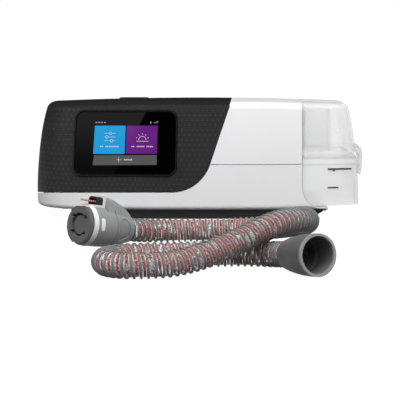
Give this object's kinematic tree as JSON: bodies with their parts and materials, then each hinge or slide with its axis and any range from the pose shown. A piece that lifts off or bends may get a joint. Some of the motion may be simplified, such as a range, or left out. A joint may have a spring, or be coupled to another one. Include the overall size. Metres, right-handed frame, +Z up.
{
  "type": "bedside airway pressure machine with water tub and hose",
  "caption": "Tabletop breathing-air machine with a tilted display, a slide-out clear water tub with hinged lid, and a loose heated ribbed hose with connector and cuff.",
  "frame": {"origin": "on the table, under the middle of the machine", "axes": "+X to the machine's right (the tub end), +Y to its back, +Z up"},
  "size_m": [0.2563, 0.4143, 0.0907],
  "materials": {
    "white_shell": "satin white",
    "dark_cover": "fine dotted texture",
    "black_foot": "matt",
    "foot_rubber": "matt",
    "lens": "polished black",
    "bezel": "satin",
    "display": "lit display",
    "board": "solder mask",
    "components": "matt",
    "steel": "machined",
    "grey_plastic": "moulded",
    "dark_plastic": "moulded",
    "filter": "filter fleece",
    "foam": "open-cell foam",
    "clear": "clear plastic",
    "seal": "silicone",
    "aluminium": "brushed",
    "brass": "plated contacts",
    "print": "printed",
    "hose_clear": "clear hose with ribs",
    "cuff": "soft moulded",
    "conn_grey": "satin",
    "white_trim": "satin"
  },
  "bodies": {
    "machine": {"base_foot": "black_foot", "rubber_feet": "foot_rubber", "lower_casing": "white_shell", "upper_casing": "white_shell", "fascia_cover": "dark_cover", "rear_panel": "grey_plastic", "display_bezel": "bezel", "screen_lens": "lens", "lcd_panel": "display", "display_carrier": "dark_plastic", "ribbon_cable": "components", "main_board": "board", "board_components": "components", "board_screws": "steel", "wireless_module": "steel", "button_switch": "board", "blower_mounts": "seal", "blower_housing_bottom": "grey_plastic", "blower_housing_top": "grey_plastic", "motor_stator": "steel", "motor_bearings": "steel", "muffler_foam": "foam", "inlet_housing": "dark_plastic", "air_filter": "filter", "filter_hinge_pin": "steel", "outlet_duct": "grey_plastic", "return_duct": "grey_plastic", "flow_sensor": "components", "air_outlet_port": "dark_plastic", "hose_power_socket": "dark_plastic", "power_socket": "dark_plastic", "power_pins": "brass", "humidifier_bay": "dark_plastic", "heater_plate": "aluminium", "dock_port_seals": "seal", "sd_socket": "dark_plastic", "casing_screws": "steel"},
    "tub": {"tub_base": "clear", "tub_heat_plate": "aluminium", "tub_seal": "seal", "tub_hinge_pin": "steel", "fill_level_marks": "print"},
    "tub_lid": {"tub_lid": "clear", "lid_air_duct": "clear"},
    "tub_latch": {"tub_latch": "clear"},
    "start_button": {"start_button": "dark_cover"},
    "filter_cover": {"filter_cover": "grey_plastic"},
    "sd_cover": {"sd_cover": "dark_cover"},
    "sd_card": {"sd_card": "components"},
    "rotor": {"rotor_shaft": "steel", "impeller": "grey_plastic"},
    "hose": {"hose_tube": "hose_clear", "hose_cuff": "cuff", "connector_body": "conn_grey", "connector_ring": "white_trim", "connector_face": "dark_plastic", "contact_housing": "dark_plastic", "contact_blade": "dark_plastic", "indicator_pill": "white_trim"}
  },
  "joints": [
    {"name": "start_button_press", "type": "slide", "parent": "machine", "child": "start_button", "axis": [0, 0, -1], "range_m": [0, 0.001], "stiffness_N_per_m": 600, "springref_m": -0.0003},
    {"name": "tub_slide", "type": "slide", "parent": "machine", "child": "tub", "axis": [1, 0, 0], "range_m": [0, 0.11]},
    {"name": "tub_lid_hinge", "type": "hinge", "parent": "tub", "child": "tub_lid", "pos_m": [0.094, 0.0656, 0.047], "axis": [-1, 0, 0], "range_deg": [0, 95]},
    {"name": "tub_latch_hinge", "type": "hinge", "parent": "tub_lid", "child": "tub_latch", "pos_m": [0.1252, 0, 0.0504], "axis": [0, -1, 0], "range_deg": [0, 25]},
    {"name": "filter_cover_hinge", "type": "hinge", "parent": "machine", "child": "filter_cover", "pos_m": [-0.064, 0.065, 0.0256], "axis": [-1, 0, 0], "range_deg": [0, 92]},
    {"name": "sd_cover_hinge", "type": "hinge", "parent": "machine", "child": "sd_cover", "pos_m": [-0.1251, -0.012, 0.031], "axis": [0, -1, 0], "range_deg": [0, 90]},
    {"name": "sd_card_push", "type": "slide", "parent": "machine", "child": "sd_card", "axis": [1, 0, 0], "range_m": [0, 0.001], "stiffness_N_per_m": 300},
    {"name": "blower_spin", "type": "hinge", "parent": "machine", "child": "rotor", "pos_m": [-0.054, 0.006, 0.03], "axis": [0, 0, 1], "continuous": true},
    {"name": "hose_slide", "type": "slide", "parent": "machine", "child": "hose", "axis": [0, -1, 0], "range_m": [0, 0.12]}
  ]
}
